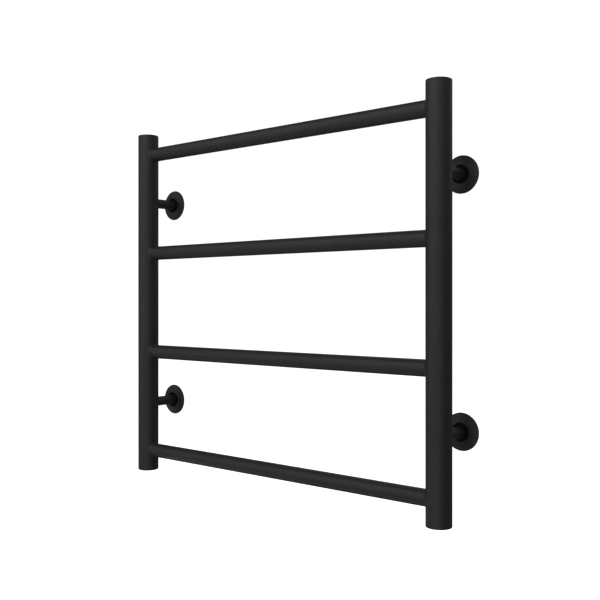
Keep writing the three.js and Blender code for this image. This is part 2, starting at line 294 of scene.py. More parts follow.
def drill(centre, axis, radius, length, count=64):
    """A plain round tool for cut()."""
    ends = [ring(centre, axis, radius, count), ring(centre + axis * length, axis, radius, count)]
    return skinned("drill", ends, False)


class Finish:
    """A surface finish under construction: a material, its shader and its nodes."""

    NOISE_REACH = (0.3, 0.7)  # most of what soft noise gives lies between these

    def __init__(self, name, roughness, metallic=0.0):
        self.material = bpy.data.materials.new(name)
        self.material.use_nodes = True
        self.shader = self.material.node_tree.nodes["Principled BSDF"]
        self.shader.inputs["Roughness"].default_value = roughness
        self.shader.inputs["Metallic"].default_value = metallic
        self.place = self.node("ShaderNodeTexCoord").outputs["Object"]

    def node(self, kind, **values):
        """A node of a kind, with its settings and its inputs' values given by name."""
        made = self.material.node_tree.nodes.new(kind)
        for key, value in values.items():
            if hasattr(made, key):
                setattr(made, key, value)
            else:
                made.inputs[key.replace("_", " ")].default_value = value
        return made

    def join(self, out, into):
        """Links an output to an input."""
        self.material.node_tree.links.new(out, into)

    def noise(self, size, detail=2.0, place=None):
        """Soft noise with features of about that size in metres."""
        made = self.node("ShaderNodeTexNoise", Scale=1 / size, Detail=detail)
        self.join(place or self.place, made.inputs["Vector"])
        return made.outputs["Fac"]

    def off_axis(self):
        """How far a point is from the Y axis through its piece's origin: the place of a lathe mark."""
        flat = self.node("ShaderNodeVectorMath", operation="MULTIPLY")
        flat.inputs[1].default_value = (1, 0, 1)
        self.join(self.place, flat.inputs[0])
        length = self.node("ShaderNodeVectorMath", operation="LENGTH")
        self.join(flat.outputs["Vector"], length.inputs[0])
        split = self.node("ShaderNodeSeparateXYZ")
        self.join(self.place, split.inputs["Vector"])
        made = self.node("ShaderNodeCombineXYZ")
        self.join(length.outputs["Value"], made.inputs["X"])
        self.join(split.outputs["Y"], made.inputs["Y"])
        return made.outputs["Vector"]

    def mixed(self, first, second, share):
        """A share of the first value and the rest of the second."""
        rest = self.node("ShaderNodeMath", operation="MULTIPLY")
        rest.inputs[1].default_value = 1 - share
        self.join(second, rest.inputs[0])
        both = self.node("ShaderNodeMath", operation="MULTIPLY_ADD")
        both.inputs[1].default_value = share
        self.join(first, both.inputs[0])
        self.join(rest.outputs["Value"], both.inputs[2])
        return both.outputs["Value"]

    def between(self, value, low, high, into):
        """Spreads noise from low to high, and feeds it to an input."""
        made = self.node("ShaderNodeMapRange", To_Min=low, To_Max=high)
        made.inputs["From Min"].default_value, made.inputs["From Max"].default_value = self.NOISE_REACH
        self.join(value, made.inputs["Value"])
        self.join(made.outputs["Result"], into)

    def colours(self, value, first, second):
        """Blends two colours by noise, and feeds the shader."""
        ramp = self.node("ShaderNodeValToRGB")
        for stop, place, colour in zip(ramp.color_ramp.elements, self.NOISE_REACH, (first, second)):
            stop.position = place
            stop.color = (*colour, 1)
        self.join(value, ramp.inputs["Fac"])
        self.join(ramp.outputs["Color"], self.shader.inputs["Base Color"])

    def relief(self, *layers):
        """Stacks height fields, each a (value, height in metres) pair, into the shader's normal."""
        below = None
        for value, height in layers:
            bump = self.node("ShaderNodeBump", Strength=1.0, Distance=height)
            self.join(value, bump.inputs["Height"])
            if below:
                self.join(below, bump.inputs["Normal"])
            below = bump.outputs["Normal"]
        self.join(below, self.shader.inputs["Normal"])


def powder_coat():
    """Matt black powder: a soft orange peel, a fine grain and a slight drift in depth and gloss."""
    coat = Finish("matt_black_powder_coat", 0.5)
    drift = coat.noise(60 * MM, 3)
    peel = coat.noise(1.6 * MM, 1.5)
    grain = coat.noise(0.28 * MM, 2)
    depth = coat.mixed(grain, drift, 0.45)
    coat.colours(depth, (0.0075, 0.0075, 0.0077), (0.0145, 0.0145, 0.0148))
    coat.between(grain, 0.42, 0.62, coat.shader.inputs["Roughness"])
    coat.relief((peel, 0.12 * MM), (grain, 0.07 * MM))
    return coat.material


black_coat = powder_coat()


def post_outline():
    """A tube's section, from its bore's foot up the outside, over the top and down the bore."""
    inner = post_radius - POST_WALL
    edge = POST_EDGE
    chamfer = POST_BORE_CHAMFER
    foot = corner(post_radius - edge, -post_top + edge, edge, -90, 0)
    head = corner(post_radius - edge, post_top - edge, edge, 0, 90)
    reach = rail_radius + 2 * WELD
    bands = []
    for z in sorted(rail_heights + [leg_centres["lower_left"].z, leg_centres["upper_left"].z]):
        bands += [(post_radius, z - reach), (post_radius, z + reach)]
    bore = [
        (inner + chamfer, post_top),
        (inner, post_top - chamfer),
        (inner, -post_top + chamfer),
        (inner + chamfer, -post_top),
    ]
    return foot + bands + head + bore


for side, x in post_centres.items():
    centre = Vector((x, post_plane, 0))
    towards_rails = Vector((-1 if side == "right" else 1, 0, 0))
    post = turned(f"{side}_post_tube", post_outline(), centre, UP, POST_ROUND)
    bores = [drill(centre + UP * z, towards_rails, rail_bore, 2 * post_radius) for z in rail_heights]
    if side == "right":
        cord_way = centre + UP * leg_centres["lower_right"].z
        bores.append(drill(cord_way, INTO_WALL, CORD_HOLE, 2 * post_radius))
    cut(post, *bores)
    post.data.materials.append(black_coat)
    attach(post, "rack")
    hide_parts(f"{side}_post")


# ---- Post caps ----
# Four pressed cups that close the posts. Each is pushed in flush and coated over with the post, which
# leaves only a hairline round its face.

CAP_CLEARANCE = 0.06 * MM
CAP_EDGE = 0.25 * MM
CAP_THICKNESS = 2.0 * MM
CAP_SKIRT = 8.0 * MM
CAP_SKIRT_WALL = 1.2 * MM

cap_radius = post_radius - POST_WALL - CAP_CLEARANCE
skirt_inside = cap_radius - CAP_SKIRT_WALL
cap_outline = corner(skirt_inside - CAP_EDGE, -CAP_THICKNESS - CAP_EDGE, CAP_EDGE, 90, 0)
cap_outline += [
    (skirt_inside, -CAP_SKIRT),
    (cap_radius - CAP_EDGE, -CAP_SKIRT),
    (cap_radius, -CAP_SKIRT + CAP_EDGE),
]
cap_outline += corner(cap_radius - CAP_EDGE, -CAP_EDGE, CAP_EDGE, 0, 90)

for side, x in post_centres.items():
    for end, way in (("top", 1), ("bottom", -1)):
        face = Vector((x, post_plane, way * post_top))
        cap = turned(f"{side}_{end}_cap_cup", cap_outline, face, UP * way, loop=False)
        cap.data.materials.append(black_coat)
        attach(cap, "rack")
        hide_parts(f"{side}_{end}_cap")


# ---- Rails ----
# Four cross tubes of 20 mm steel. Each end is hollowed to the post's round and welded all the way
# round; the weld is dressed to a small smooth hollow before the coat goes on.

WELD_STEPS = 7
RAIL_SPANS = 16


def weld_rings(post_centre, along, tube_radius, reach):
    """Rings that climb a dressed weld, from the post's skin to the skin of a tube that meets it."""
    side = UP.cross(along)
    rings = []
    for step in range(WELD_STEPS + 1):
        t = step / WELD_STEPS
        points = []
        for i in range(ROUND):
            across = math.sin(2 * math.pi * i / ROUND)
            rise = math.cos(2 * math.pi * i / ROUND)
            foot, root = (
                post_centre
                + along * math.sqrt(post_radius**2 - (radius * across) ** 2)
                + side * (radius * across)
                + UP * (radius * rise)
                for radius in (tube_radius + reach, tube_radius)
            )
            neck = root + along * reach
            points.append(foot * (1 - t) ** 2 + root * (2 * t * (1 - t)) + neck * t**2)
        rings.append(points)
    return rings


def inner_ring(post_centre, along, radius):
    """The edge of a tube's bore, where it opens into the post."""
    side = UP.cross(along)
    points = []
    for i in range(ROUND):
        across = radius * math.sin(2 * math.pi * i / ROUND)
        rise = radius * math.cos(2 * math.pi * i / ROUND)
        reach = math.sqrt(post_radius**2 - across**2)
        points.append(post_centre + along * reach + side * across + UP * rise)
    return points


def mirrored(points):
    """The same ring, met from the other end of the tube."""
    return [points[0]] + points[:0:-1]


for rail, z in zip(RAILS, rail_heights):
    left_end = Vector((post_centres["left"], post_plane, z))
    right_end = Vector((post_centres["right"], post_plane, z))
    left_weld = weld_rings(left_end, RIGHT, rail_radius, WELD)
    right_weld = [mirrored(points) for points in weld_rings(right_end, -RIGHT, rail_radius, WELD)]
    spans = [i / RAIL_SPANS for i in range(1, RAIL_SPANS)]
    middle = [[a.lerp(b, t) for a, b in zip(left_weld[-1], right_weld[-1])] for t in spans]
    right_mouth = mirrored(inner_ring(right_end, -RIGHT, rail_bore))
    left_mouth = inner_ring(left_end, RIGHT, rail_bore)
    rings = left_weld + middle + right_weld[::-1] + [right_mouth, left_mouth]
    tube = skinned(f"{rail}_tube", rings, True)
    tube.data.materials.append(black_coat)
    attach(tube, "rack")
    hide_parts(rail)


# ---- Legs ----
# Four stubs of 14 mm tube, welded square to the backs of the posts. Each is bored and tapped on its
# underside for the grub screw that locks it on its wall base.

LEG_WALL = 2.0 * MM
LEG_END = 1.5 * MM
LEG_CHAMFER = 0.3 * MM
LEG_WELD = 1.3 * MM
GRUB_FROM_WALL = 10.0 * MM
GRUB_RADIUS = 2.0 * MM
TAP_CLEARANCE = 0.15 * MM

leg_bore = leg_radius - LEG_WALL


def end_ring(foot, radius, back):
    """A ring so far back from a leg's open end, in step with the weld's rings."""
    centre = foot + FROM_WALL * back
    side = UP.cross(INTO_WALL)
    turns = [2 * math.pi * i / ROUND for i in range(ROUND)]
    return [centre + side * (radius * math.sin(a)) + UP * (radius * math.cos(a)) for a in turns]


for leg, centre in leg_centres.items():
    root = Vector((centre.x, post_plane, centre.z))
    foot = Vector((centre.x, -LEG_END, centre.z))
    weld = weld_rings(root, INTO_WALL, leg_radius, LEG_WELD)
    open_end = [
        end_ring(foot, leg_radius, GRUB_FROM_WALL + 2 * GRUB_RADIUS),
        end_ring(foot, leg_radius, LEG_CHAMFER),
        end_ring(foot, leg_radius - LEG_CHAMFER, 0),
        end_ring(foot, leg_bore + LEG_CHAMFER, 0),
        end_ring(foot, leg_bore, LEG_CHAMFER),
    ]
    rings = weld + open_end + [inner_ring(root, INTO_WALL, leg_bore)]
    tube = skinned(f"{leg}_leg_tube", rings, True)
    grub_axis = Vector((centre.x, -GRUB_FROM_WALL, centre.z))
    cut(tube, drill(grub_axis, -UP, GRUB_RADIUS + TAP_CLEARANCE, 2 * leg_radius))
    tube.data.materials.append(black_coat)
    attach(tube, "rack")
    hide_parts(f"{leg}_leg")


# ---- Covers ----
# Four shallow cones spun from thin sheet, coated like the rack. Each drops over its leg, hides the
# wall base and slides forward to let a hand reach the grub screw.

COVER_HOLE = 11.0 * MM
COVER_WALL = 0.8 * MM
COVER_RIM = 0.3 * MM
COVER_RIM_RISE = 0.6 * COVER_RIM
COVER_RIM_START = -36  # degrees; a lower start would dig into the wall
COVER_LIP = 0.35 * MM
COVER_LIP_DROP = 1.02 * COVER_LIP
COVER_LIP_STOP = 250  # degrees; the lip is rolled over and back inside
COVER_ROUND = 160
COVER_SMOOTH = 28

cover_low, cover_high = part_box("upper_left_cover")
cover_radius = (cover_high.z - cover_low.z) / 2
cover_height = cover_high.y - cover_low.y
wall_points = {leg: Vector((centre.x, 0, centre.z)) for leg, centre in leg_centres.items()}


def cover_outline():
    """The section of the cone's sheet, from the rim over the face to the hole and back inside."""
    slope = math.atan2(cover_height - COVER_RIM, cover_radius - COVER_HOLE)
    lean = math.degrees(slope)
    rim_centre = (cover_radius - COVER_RIM, COVER_RIM_RISE)
    rim = corner(*rim_centre, COVER_RIM, COVER_RIM_START, 90 - lean, 4)
    lip_centre = (COVER_HOLE + COVER_LIP, cover_height - COVER_LIP_DROP)
    lip = corner(*lip_centre, COVER_LIP, 90 - lean, COVER_LIP_STOP, 7)
    inside_top = (COVER_HOLE + COVER_LIP, cover_height - COVER_WALL - COVER_LIP / 2)
    inside_foot = (cover_radius - COVER_WALL / math.tan(slope), 0)
    return [inside_foot, (cover_radius - COVER_RIM, 0)] + rim + lip + [inside_top]


for leg, wall_point in wall_points.items():
    name = f"{leg}_cover_cone"
    cover = turned(name, cover_outline(), wall_point, FROM_WALL, COVER_ROUND, COVER_SMOOTH)
    cover.data.materials.append(black_coat)
    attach(cover, f"{leg}_cover")
    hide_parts(f"{leg}_cover")


# ---- Wall bases ----
# Four turned stainless flanges, each held to the wall by two countersunk screws. The stub in the
# middle goes up the leg, and the grub screw bites in its groove.

BASE_THICKNESS = 1.2 * MM
BASE_EDGE = 0.3 * MM
BASE_SCREW_PLACE = 11.0 * MM
BASE_SCREW_HOLE = 1.9 * MM
BASE_SCREW_HEAD = 3.5 * MM
STUB_RADIUS = 4.7 * MM
STUB_BORE = 3.0 * MM
STUB_LENGTH = 16.0 * MM
STUB_FILLET = 0.45 * MM
GROOVE_RADIUS = 3.5 * MM
GROOVE_HALF = 3.5 * MM
BASE_ROUND = 128
HOLE_ROUND = 48
PAST = 1.0 * MM  # how far a cutting tool runs on past a face

base_low, base_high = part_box("upper_left_wall_base")
base_radius = (base_high.z - base_low.z) / 2


def turned_steel():
    """Stainless steel as it leaves the lathe: fine rings round the axis and a few deeper ones."""
    steel = Finish("turned_stainless_steel", 0.28, 1.0)
    across = steel.off_axis()
    fine = steel.noise(0.09 * MM, 3, across)
    broad = steel.noise(1.4 * MM, 2, across)
    handling = steel.noise(7 * MM, 4)
    steel.colours(handling, (0.5, 0.505, 0.51), (0.6, 0.605, 0.61))
    steel.between(broad, 0.22, 0.4, steel.shader.inputs["Roughness"])
    steel.relief((fine, 0.006 * MM), (broad, 0.01 * MM))
    steel.shader.inputs["Anisotropic"].default_value = 0.4
    return steel.material


stainless = turned_steel()

groove_rise = STUB_RADIUS - GROOVE_RADIUS
base_outline = [
    (STUB_BORE, BASE_EDGE),
    (STUB_BORE + BASE_EDGE, 0),
    (base_radius - BASE_EDGE, 0),
    (base_radius, BASE_EDGE),
]
base_outline += corner(base_radius - BASE_EDGE, BASE_THICKNESS - BASE_EDGE, BASE_EDGE, 0, 90)
base_outline += corner(STUB_RADIUS + STUB_FILLET, BASE_THICKNESS + STUB_FILLET, STUB_FILLET, 270, 180)
base_outline += [
    (STUB_RADIUS, GRUB_FROM_WALL - GROOVE_HALF - groove_rise),
    (GROOVE_RADIUS, GRUB_FROM_WALL - GROOVE_HALF),
    (GROOVE_RADIUS, GRUB_FROM_WALL + GROOVE_HALF),
    (STUB_RADIUS, GRUB_FROM_WALL + GROOVE_HALF + groove_rise),
]
base_outline += corner(STUB_RADIUS - BASE_EDGE, STUB_LENGTH - BASE_EDGE, BASE_EDGE, 0, 90)
base_outline += [(STUB_BORE + BASE_EDGE, STUB_LENGTH), (STUB_BORE, STUB_LENGTH - BASE_EDGE)]
countersink_depth = (BASE_SCREW_HEAD - BASE_SCREW_HOLE) / 2
countersink = [
    (BASE_SCREW_HOLE, -PAST),
    (BASE_SCREW_HOLE, BASE_THICKNESS - countersink_depth),
    (BASE_SCREW_HEAD + 2 * PAST, BASE_THICKNESS + PAST),
]

for leg, wall_point in wall_points.items():
    base = turned(f"{leg}_flange", base_outline, wall_point, FROM_WALL, BASE_ROUND)
    holes = [
        turned("hole", countersink, wall_point + UP * z, FROM_WALL, HOLE_ROUND, loop=False)
        for z in (-BASE_SCREW_PLACE, BASE_SCREW_PLACE)
    ]
    cut(base, *holes)
    base.data.materials.append(stainless)
    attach(base, "rack")
    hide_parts(f"{leg}_wall_base")


# ---- Grub screws ----
# Four M4 set screws of zinc-plated steel with a cup point and a hexagon socket. Each is driven up
# through the underside of its leg, just below flush.

GRUB_TIP = 3.8 * MM
GRUB_FACE = 6.6 * MM
GRUB_PITCH = 0.7 * MM
GRUB_CHAMFER = 0.45 * MM
THREAD_DEPTH = 0.36 * MM
THREAD_STEPS = 8
FLANK_SLOPE = 2.6  # how steeply a thread's flanks fall, over one pitch
CREST_FLAT = 0.2
CUP_DEPTH = 0.3 * MM
CUP_BOTTOM = 0.35 * MM
CUP_MOUTH = 0.8 * MM
CUP_EDGE = 0.95 * MM
SOCKET_FLATS = 2.0 * MM
SOCKET_DEPTH = 1.6 * MM
SOCKET_MOUTH = 0.62 * SOCKET_FLATS
SOCKET_LEAD = 0.15 * MM
SOCKET_POINT = 0.3 * MM
SOCKET_POINT_DEPTH = 0.25 * MM
SCREW_ROUND = 48


def hexagon(centre, axis, flats, count=SCREW_ROUND):
    """Points round a hexagon, in step with the points of a ring."""
    points = []
    for i, point in enumerate(ring(centre, axis, flats / 2, count)):
        lean = (2 * math.pi * i / count) % (math.pi / 3) - math.pi / 6
        points.append(centre + (point - centre) / math.cos(lean))
    return points


def thread_rings(foot, axis, radius, length, pitch, depth, chamfer):
    """Rings up a screw thread, which runs out in a chamfer at both ends."""
    rings = []
    steps = round(length / pitch * THREAD_STEPS)
    for step in range(steps + 1):
        height = length * step / steps
        room = radius - max(0, chamfer - min(height, length - height))
        points = []
        for i, point in enumerate(ring(Vector((0, 0, 0)), axis, 1, SCREW_ROUND)):
            phase = (height / pitch - i / SCREW_ROUND) % 1
            fall = abs(phase - 0.5) * FLANK_SLOPE - CREST_FLAT
            skin = radius - depth * min(1, max(0, fall))
            points.append(foot + axis * height + point * min(room, skin))
        rings.append(points)
    return rings


def zinc_steel():
    """Zinc-plated steel: a clouded plating with a fine grain."""
    zinc = Finish("zinc_plated_steel", 0.34, 1.0)
    cloud = zinc.noise(1.8 * MM, 4)
    grain = zinc.noise(0.12 * MM, 2)
    zinc.colours(cloud, (0.4, 0.41, 0.43), (0.52, 0.53, 0.53))
    zinc.between(cloud, 0.26, 0.42, zinc.shader.inputs["Roughness"])
    zinc.relief((grain, 0.006 * MM))
    return zinc.material


zinc = zinc_steel()

grub_length = GRUB_FACE - GRUB_TIP
grub_thread = (GRUB_RADIUS, grub_length, GRUB_PITCH, THREAD_DEPTH, GRUB_CHAMFER)

for leg, centre in leg_centres.items():
    grub_axis = Vector((centre.x, -GRUB_FROM_WALL, centre.z))
    tip = grub_axis - UP * GRUB_TIP
    face = grub_axis - UP * GRUB_FACE
    cup = [
        ring(tip - UP * CUP_DEPTH, -UP, CUP_BOTTOM, SCREW_ROUND),
        ring(tip, -UP, CUP_MOUTH, SCREW_ROUND),
        ring(tip, -UP, CUP_EDGE, SCREW_ROUND),
    ]
    thread = thread_rings(tip, -UP, *grub_thread)
    socket = [
        ring(face, -UP, SOCKET_MOUTH, SCREW_ROUND),
        hexagon(face + UP * SOCKET_LEAD, -UP, SOCKET_FLATS),
        hexagon(face + UP * SOCKET_DEPTH, -UP, SOCKET_FLATS),
        ring(face + UP * (SOCKET_DEPTH + SOCKET_POINT_DEPTH), -UP, SOCKET_POINT, SCREW_ROUND),
    ]
    grub = skinned(f"{leg}_set_screw", cup + thread + socket, False)
    grub.data.materials.append(zinc)
    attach(grub, "rack")
    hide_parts(f"{leg}_grub_screw")


# ---- Cover seals ----
# Four moulded rubber rings bonded inside the covers, hollowed between rim and bore so that the bore
# gives. Two soft lips in it drag on the leg, which holds a cover wherever it is pushed.

SEAL_BORE = 7.35 * MM
SEAL_LIP = 0.25 * MM
SEAL_LIP_HALF = 0.6 * SEAL_LIP
SEAL_ROUND = 0.22 * MM
SEAL_RIM_WALL = 1.1 * MM
SEAL_BORE_WALL = 0.6 * MM
SEAL_FLOOR = 0.35 * MM

seal_low, seal_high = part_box("upper_left_cover_seal")
seal_radius = (seal_high.z - seal_low.z) / 2
seal_foot, seal_top = -seal_high.y, -seal_low.y


def rubber_painted_as_recess_shade():
    """Moulded black rubber, painted darker than real rubber as shade in the covers' holes; dull, matt,
    with a paler bloom.
    """
    rubber = Finish("black_rubber_with_painted_recess_shade", 0.75)
    bloom = rubber.noise(3 * MM, 3)
    texture = rubber.noise(0.2 * MM, 2)
    # Painted shade: both tones are darker than real black rubber, so the seals in the covers' holes
    # look like a deep shadowed recess.
    rubber.colours(bloom, (0.003, 0.003, 0.003), (0.006, 0.006, 0.0065))
    rubber.between(texture, 0.75, 0.92, rubber.shader.inputs["Roughness"])
    rubber.shader.inputs["Specular IOR Level"].default_value = 0.2
    rubber.relief((texture, 0.02 * MM))
    return rubber.material


rubber = rubber_painted_as_recess_shade()

seal_middle = (seal_foot + seal_top) / 2
seal_outline = corner(seal_radius - SEAL_ROUND, seal_foot + SEAL_ROUND, SEAL_ROUND, -90, 0, 4)
seal_outline += corner(seal_radius - SEAL_ROUND, seal_top - SEAL_ROUND, SEAL_ROUND, 0, 90, 4)
seal_outline += [
    (seal_radius - SEAL_RIM_WALL, seal_top),
    (seal_radius - SEAL_RIM_WALL, seal_foot + SEAL_FLOOR),
    (SEAL_BORE + SEAL_BORE_WALL, seal_foot + SEAL_FLOOR),
    (SEAL_BORE + SEAL_BORE_WALL, seal_top),
]
seal_outline += corner(SEAL_BORE + SEAL_ROUND, seal_top - SEAL_ROUND, SEAL_ROUND, 90, 180, 4)
for lip in (seal_middle + SEAL_LIP, seal_middle - SEAL_LIP):
    seal_outline += [
        (SEAL_BORE, lip + SEAL_LIP_HALF),
        (SEAL_BORE - SEAL_LIP, lip),
        (SEAL_BORE, lip - SEAL_LIP_HALF),
    ]
seal_outline += corner(SEAL_BORE + SEAL_ROUND, seal_foot + SEAL_ROUND, SEAL_ROUND, 180, 270, 4)

for leg, wall_point in wall_points.items():
    seal = turned(f"{leg}_grip_ring", seal_outline, wall_point, FROM_WALL)
    # The near-black of this rubber is painted shade: it fills each cover's hole with the dark of a deep
    # recess.
    seal.data.materials.append(rubber)
    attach(seal, f"{leg}_cover")
    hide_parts(f"{leg}_cover_seal")


# ---- Cord bush ----
# A rubber bush pressed into the wired leg against the post. It keeps the supply cord off the edge of
# its hole, and three ribs hold it in the leg.

BUSH_BORE = 3.0 * MM
BUSH_ROUND = 0.6 * MM
BUSH_RIB = 0.2 * MM
RIB_SHARES = (0.25, 0.5, 0.75)  # of the bush's length
RIB_START = 0.5 * MM
RIB_CREST_START = 0.2 * MM
RIB_CREST_STOP = 0.1 * MM
RIB_STOP = 0.3 * MM

bush_low, bush_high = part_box("cord_grommet")
bush_radius = (bush_high.z - bush_low.z) / 2
bush_length = bush_high.y - bush_low.y
bush_core = bush_radius - BUSH_RIB
bush_outline = corner(BUSH_BORE + BUSH_ROUND, BUSH_ROUND, BUSH_ROUND, 180, 270)
bush_outline += [(bush_core - BUSH_RIB, 0), (bush_core, BUSH_RIB)]
for share in RIB_SHARES:
    rib = bush_length * share
    bush_outline += [
        (bush_core, rib - RIB_START),
        (bush_radius, rib - RIB_CREST_START),
        (bush_radius, rib + RIB_CREST_STOP),
        (bush_core, rib + RIB_STOP),
    ]
bush_outline += [(bush_core, bush_length - BUSH_RIB), (bush_core - BUSH_RIB, bush_length)]
bush_outline += corner(BUSH_BORE + BUSH_ROUND, bush_length - BUSH_ROUND, BUSH_ROUND, 90, 180)

wired_leg = leg_centres["lower_right"]
bush_foot = Vector((wired_leg.x, bush_low.y, wired_leg.z))
bush = turned("cord_bush", bush_outline, bush_foot, INTO_WALL)
bush.data.materials.append(rubber)
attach(bush, "rack")
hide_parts("cord_grommet")


# ---- Heating cable ----
# One run of silicone-sheathed heating cable, drawn through the frame from the wired leg: down the right
# post, through every rail in turn, and ending in a blind sleeve near the top.

CABLE_RADIUS = 2.5 * MM
CABLE_BEND = 18.0 * MM
CABLE_BEND_STEPS = 10
CABLE_ROUND = 24
ROD_SMOOTH = 50  # degrees
CABLE_BELOW_RAIL = 6.0 * MM
SLEEVE_GRIP = 3.3 * MM

cable_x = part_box("heating_cable")[1].x - CABLE_RADIUS


def bent(corners, radius, steps):
    """A line through upright corners, each rounded to a quarter bend."""
    line = [corners[0]]
    for before, here, after in zip(corners, corners[1:], corners[2:]):
        back = (before - here).normalized()
        on = (after - here).normalized()
        middle = here + (back + on) * radius
        for i in range(steps + 1):
            turn = math.pi / 2 * i / steps
            line.append(
                middle - on * (radius * math.cos(turn)) - back * (radius * math.sin(turn))
            )
    return line + [corners[-1]]


def rod(name, line, radius, count):
    """A round rod along a line of points."""
    steps = [(b - a).normalized() for a, b in zip(line, line[1:])]
    ways = [steps[0]] + [(a + b).normalized() for a, b in zip(steps, steps[1:])] + [steps[-1]]
    side = ways[0].orthogonal().normalized()
    rings = []
    for point, way in zip(line, ways):
        side = (side - way * side.dot(way)).normalized()
        other = way.cross(side)
        turns = [2 * math.pi * i / count for i in range(count)]
        rings.append(
            [point + side * (radius * math.cos(a)) + other * (radius * math.sin(a)) for a in turns]
        )
    return skinned(name, rings, False, ROD_SMOOTH)


def silicone():
    """Extruded silicone: a deep brick red with a satin skin and a dusting of talc."""
    skin = Finish("red_silicone_sheath", 0.45)
    talc = skin.noise(5 * MM, 5)
    drawn = skin.noise(0.5 * MM, 2)
    skin.colours(talc, (0.23, 0.026, 0.017), (0.3, 0.055, 0.04))
    skin.between(talc, 0.4, 0.6, skin.shader.inputs["Roughness"])
    skin.relief((drawn, 0.02 * MM))
    return skin.material


splice_low, splice_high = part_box("splice_sleeve")
blind_low, blind_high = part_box("cable_end_seal")
cable_corners = [Vector((cable_x, post_plane, splice_low.z + SLEEVE_GRIP))]
for run, z in enumerate(sorted(rail_heights)):
    enters = cable_x if run % 2 == 0 else -cable_x
    cable_corners.append(Vector((enters, post_plane, z - CABLE_BELOW_RAIL)))
    cable_corners.append(Vector((-enters, post_plane, z - CABLE_BELOW_RAIL)))
cable_corners.append(Vector((cable_corners[-1].x, post_plane, blind_high.z - SLEEVE_GRIP)))
cable_line = bent(cable_corners, CABLE_BEND, CABLE_BEND_STEPS)
cable = rod("heating_cable_sheath", cable_line, CABLE_RADIUS, CABLE_ROUND)
cable.data.materials.append(silicone())
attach(cable, "rack")
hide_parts("heating_cable")


# ---- Cable sleeves ----
# Two shrunk rubber sleeves on the ends of the cable: the splice to the supply wires, crimped twice,
# and the blind end near the top of the post.

SLEEVE_RADIUS = 3.5 * MM
SLEEVE_MOUTH = 2.6 * MM
SLEEVE_LIP = 0.3 * MM
SLEEVE_RECESS = 4.0 * MM
SLEEVE_SHOULDER = 1.0 * MM
CRIMP_DEPTH = 0.45 * MM
CRIMP_FLAT = 0.8 * MM
CRIMP_REACH = 1.6 * MM
SLEEVE_ROUND = 48

for name, node, low, high, mouth_up, crimps in (
    ("cable_splice_sleeve", "splice_sleeve", splice_low, splice_high, False, (0.5, 0.75)),
    ("cable_blind_sleeve", "cable_end_seal", blind_low, blind_high, True, (0.42, 0.6)),
):
    length = high.z - low.z
    outline = [
        (SLEEVE_MOUTH, SLEEVE_RECESS),
        (SLEEVE_MOUTH, SLEEVE_LIP),
        (SLEEVE_MOUTH + SLEEVE_LIP, 0),
    ]
    outline += corner(SLEEVE_RADIUS - SLEEVE_LIP, SLEEVE_LIP, SLEEVE_LIP, -90, 0, 3)
    for share in crimps:
        at = length * share
        outline += [
            (SLEEVE_RADIUS, at - CRIMP_REACH),
            (SLEEVE_RADIUS - CRIMP_DEPTH, at - CRIMP_FLAT),
            (SLEEVE_RADIUS - CRIMP_DEPTH, at + CRIMP_FLAT),
            (SLEEVE_RADIUS, at + CRIMP_REACH),
        ]
    shoulder = (SLEEVE_RADIUS - SLEEVE_SHOULDER, length - SLEEVE_SHOULDER)
    outline += corner(*shoulder, SLEEVE_SHOULDER, 0, 90)
    centre_x = (low.x + high.x) / 2
    foot = Vector((centre_x, post_plane, high.z if mouth_up else low.z))
    sleeve = turned(name, outline, foot, -UP if mouth_up else UP, SLEEVE_ROUND, loop=False)
    sleeve.data.materials.append(rubber)
    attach(sleeve, "rack")
    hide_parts(node)


# ---- Terminal block ----
# A three-pole block moulded in white plastic, loose in the post behind the wired leg. Wires enter its
# ends, and two cheese-head screws clamp each pole from the front.

POLES = (-3.0 * MM, 0.0, 3.0 * MM)
WIRE_RADIUS = 0.9 * MM
WIRE_ENTRY = 1.15 * MM
WIRE_ENTRY_DEPTH = 4.0 * MM
SCREW_WELL = 1.05 * MM
SCREW_WELL_DEPTH = 1.4 * MM
SCREW_HEAD = 0.85 * MM
SCREW_PLACES = (-4.0 * MM, 4.0 * MM)
SCREW_SIDE = 0.7 * MM
SCREW_EDGE = 0.2 * MM
SCREW_EDGE_RISE = 0.8 * MM
SCREW_SHANK = 0.5 * MM
SCREW_SHANK_LENGTH = 1.2 * MM
SLOT_HALF = 0.14 * MM
SLOT_FLOOR = 0.6 * MM
SLOT_TOP = 1.2 * MM
SLOT_REACH = 1.0 * MM
SCREW_HEAD_ROUND = 32
SMALL_HOLE_ROUND = 24
POLE_GROOVES = (-1.5 * MM, 1.5 * MM)
POLE_GROOVE_HALF = 0.25 * MM
POLE_GROOVE_DEPTH = 0.7 * MM
MOULD_EDGE = 0.4 * MM

wiring = Vector((wired_leg.x, post_plane, wired_leg.z))


def box_of(name, low, high, edge):
    """A moulded or sawn box with rounded edges."""
    work = bmesh.new()
    bmesh.ops.create_cube(work, size=1)
    for vert in work.verts:
        vert.co = Vector(a + (b - a) * (v + 0.5) for a, b, v in zip(low, high, vert.co))
    if edge:
        edges = list(work.edges)
        bmesh.ops.bevel(work, geom=edges, offset=edge, segments=3, profile=0.5, affect="EDGES")
    mesh = bpy.data.meshes.new(name)
    work.to_mesh(mesh)
    work.free()
    return link(name, mesh)


def moulded_white():
    """Moulded off-white plastic with a spark-eroded texture and slight yellowing."""
    plastic = Finish("moulded_white_plastic", 0.5)
    age = plastic.noise(6 * MM, 3)
    texture = plastic.noise(0.15 * MM, 2)
    plastic.colours(age, (0.66, 0.64, 0.58), (0.74, 0.73, 0.7))
    plastic.between(texture, 0.44, 0.58, plastic.shader.inputs["Roughness"])
    plastic.relief((texture, 0.012 * MM))
    return plastic.material


white_plastic = moulded_white()

